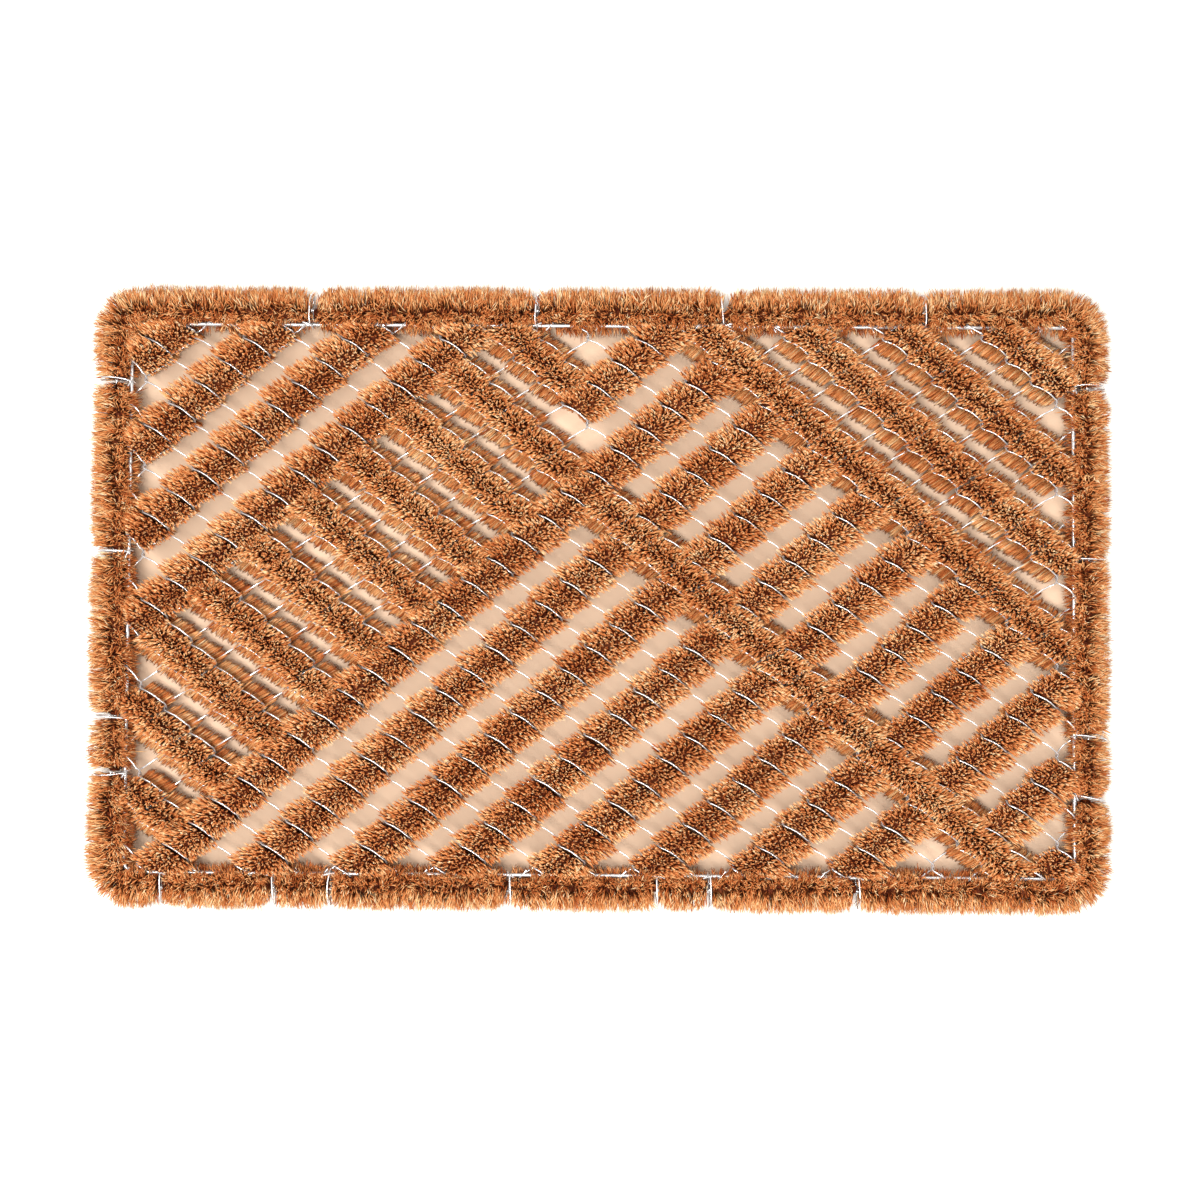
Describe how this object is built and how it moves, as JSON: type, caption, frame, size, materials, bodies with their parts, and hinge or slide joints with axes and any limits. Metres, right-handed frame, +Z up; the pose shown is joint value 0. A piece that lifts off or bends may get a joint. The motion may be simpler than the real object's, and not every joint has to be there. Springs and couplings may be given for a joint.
{
  "type": "door mat",
  "caption": "Rectangular scraper door mat of coir tufts held in a chain-link wire mesh, with a coir brush border.",
  "frame": {"origin": "centre of the underside, on the surface that the mat lies on", "axes": "+X along the long side, +Y along the short side, +Z up out of the mat"},
  "size_m": [0.6, 0.366, 0.026],
  "materials": {
    "coir": "dry natural coconut fibre, orange brown with paler tips",
    "coir_border": "dry natural coconut fibre, orange brown with paler tips",
    "galvanised_wire": "bright galvanised wire"
  },
  "bodies": {
    "root": {"border_brush_01": "coir_border", "border_brush_02": "coir_border", "border_brush_03": "coir_border", "border_brush_04": "coir_border", "border_brush_05": "coir_border", "border_brush_06": "coir_border", "border_brush_07": "coir_border", "border_brush_08": "coir_border", "border_brush_09": "coir_border", "border_brush_10": "coir_border", "border_brush_11": "coir_border", "border_brush_12": "coir_border", "border_brush_13": "coir_border", "border_brush_14": "coir_border", "border_brush_15": "coir_border", "border_brush_16": "coir_border", "border_brush_17": "coir_border", "border_brush_18": "coir_border", "border_brush_19": "coir_border", "border_spine": "galvanised_wire", "falling_strip_01": "coir", "falling_strip_02": "coir", "falling_strip_03": "coir", "falling_strip_04": "coir", "falling_strip_05": "coir", "falling_strip_06": "coir", "falling_strip_07": "coir", "falling_strip_08": "coir", "falling_strip_09": "coir", "falling_strip_10": "coir", "falling_strip_11": "coir", "falling_strip_12": "coir", "falling_strip_13": "coir", "falling_strip_14": "coir", "falling_strip_15": "coir", "frame_wire": "galvanised_wire", "rising_strip_01": "coir", "rising_strip_02": "coir", "rising_strip_03": "coir", "rising_strip_04": "coir", "rising_strip_05": "coir", "rising_strip_06": "coir", "rising_strip_07": "coir", "rising_strip_08": "coir", "rising_strip_09": "coir", "rising_strip_10": "coir", "rising_strip_11": "coir", "rising_strip_12": "coir", "rising_strip_13": "coir", "rising_strip_14": "coir", "rising_strip_15": "coir", "rising_strip_16": "coir", "rising_strip_17": "coir", "rising_strip_18": "coir", "rising_strip_19": "coir", "rising_strip_20": "coir", "rising_strip_21": "coir", "rising_strip_22": "coir", "wire_mesh": "galvanised_wire"}
  },
  "joints": []
}
